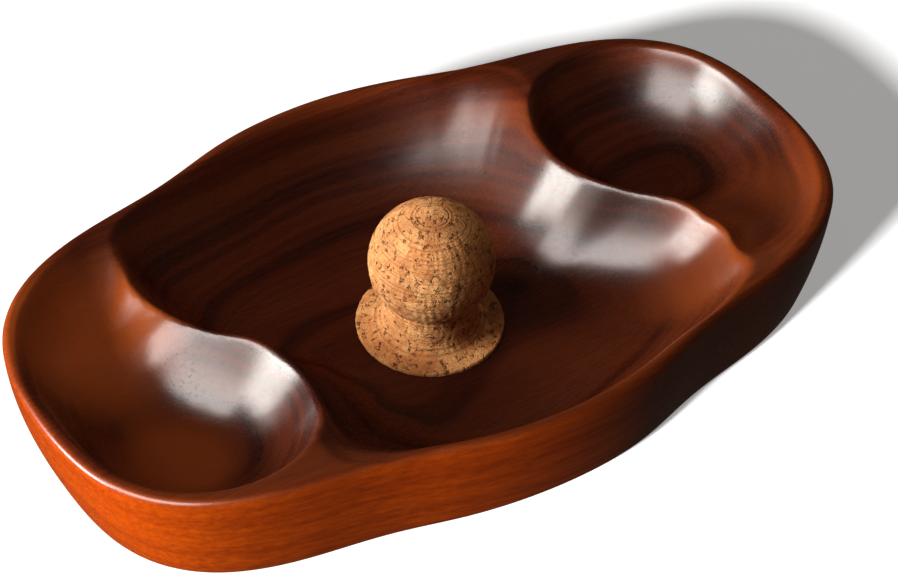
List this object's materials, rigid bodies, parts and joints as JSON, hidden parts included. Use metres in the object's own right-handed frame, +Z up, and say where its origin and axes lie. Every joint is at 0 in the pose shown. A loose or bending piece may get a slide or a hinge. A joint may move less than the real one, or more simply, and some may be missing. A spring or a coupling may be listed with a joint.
{
  "type": "chip and dip server",
  "caption": "Long wooden serving tray carved with a deep centre well for chips and a curved dip bowl at each end, with a lift-off cork knob standing in the well.",
  "frame": {"origin": "on the table under the middle of the base, which is also under the knob's axis", "axes": "+Z up, +X along the length towards the dip bowl whose deep round end lies on the +Y side"},
  "size_m": [0.4, 0.2354, 0.0819],
  "materials": {
    "mahogany": "satin oiled, dark red-brown with darker streaks along the length",
    "peg_wood": "plain turned, unfinished",
    "cork": "matt agglomerated cork, open grain"
  },
  "bodies": {
    "tray_body": {"tray": "mahogany", "locating_peg": "peg_wood"},
    "knob_body": {"cork_knob": "cork"}
  },
  "joints": [
    {"name": "knob_lift", "type": "slide", "parent": "tray_body", "child": "knob_body", "axis": [0, 0, 1], "range_m": [0, 0.07]}
  ]
}
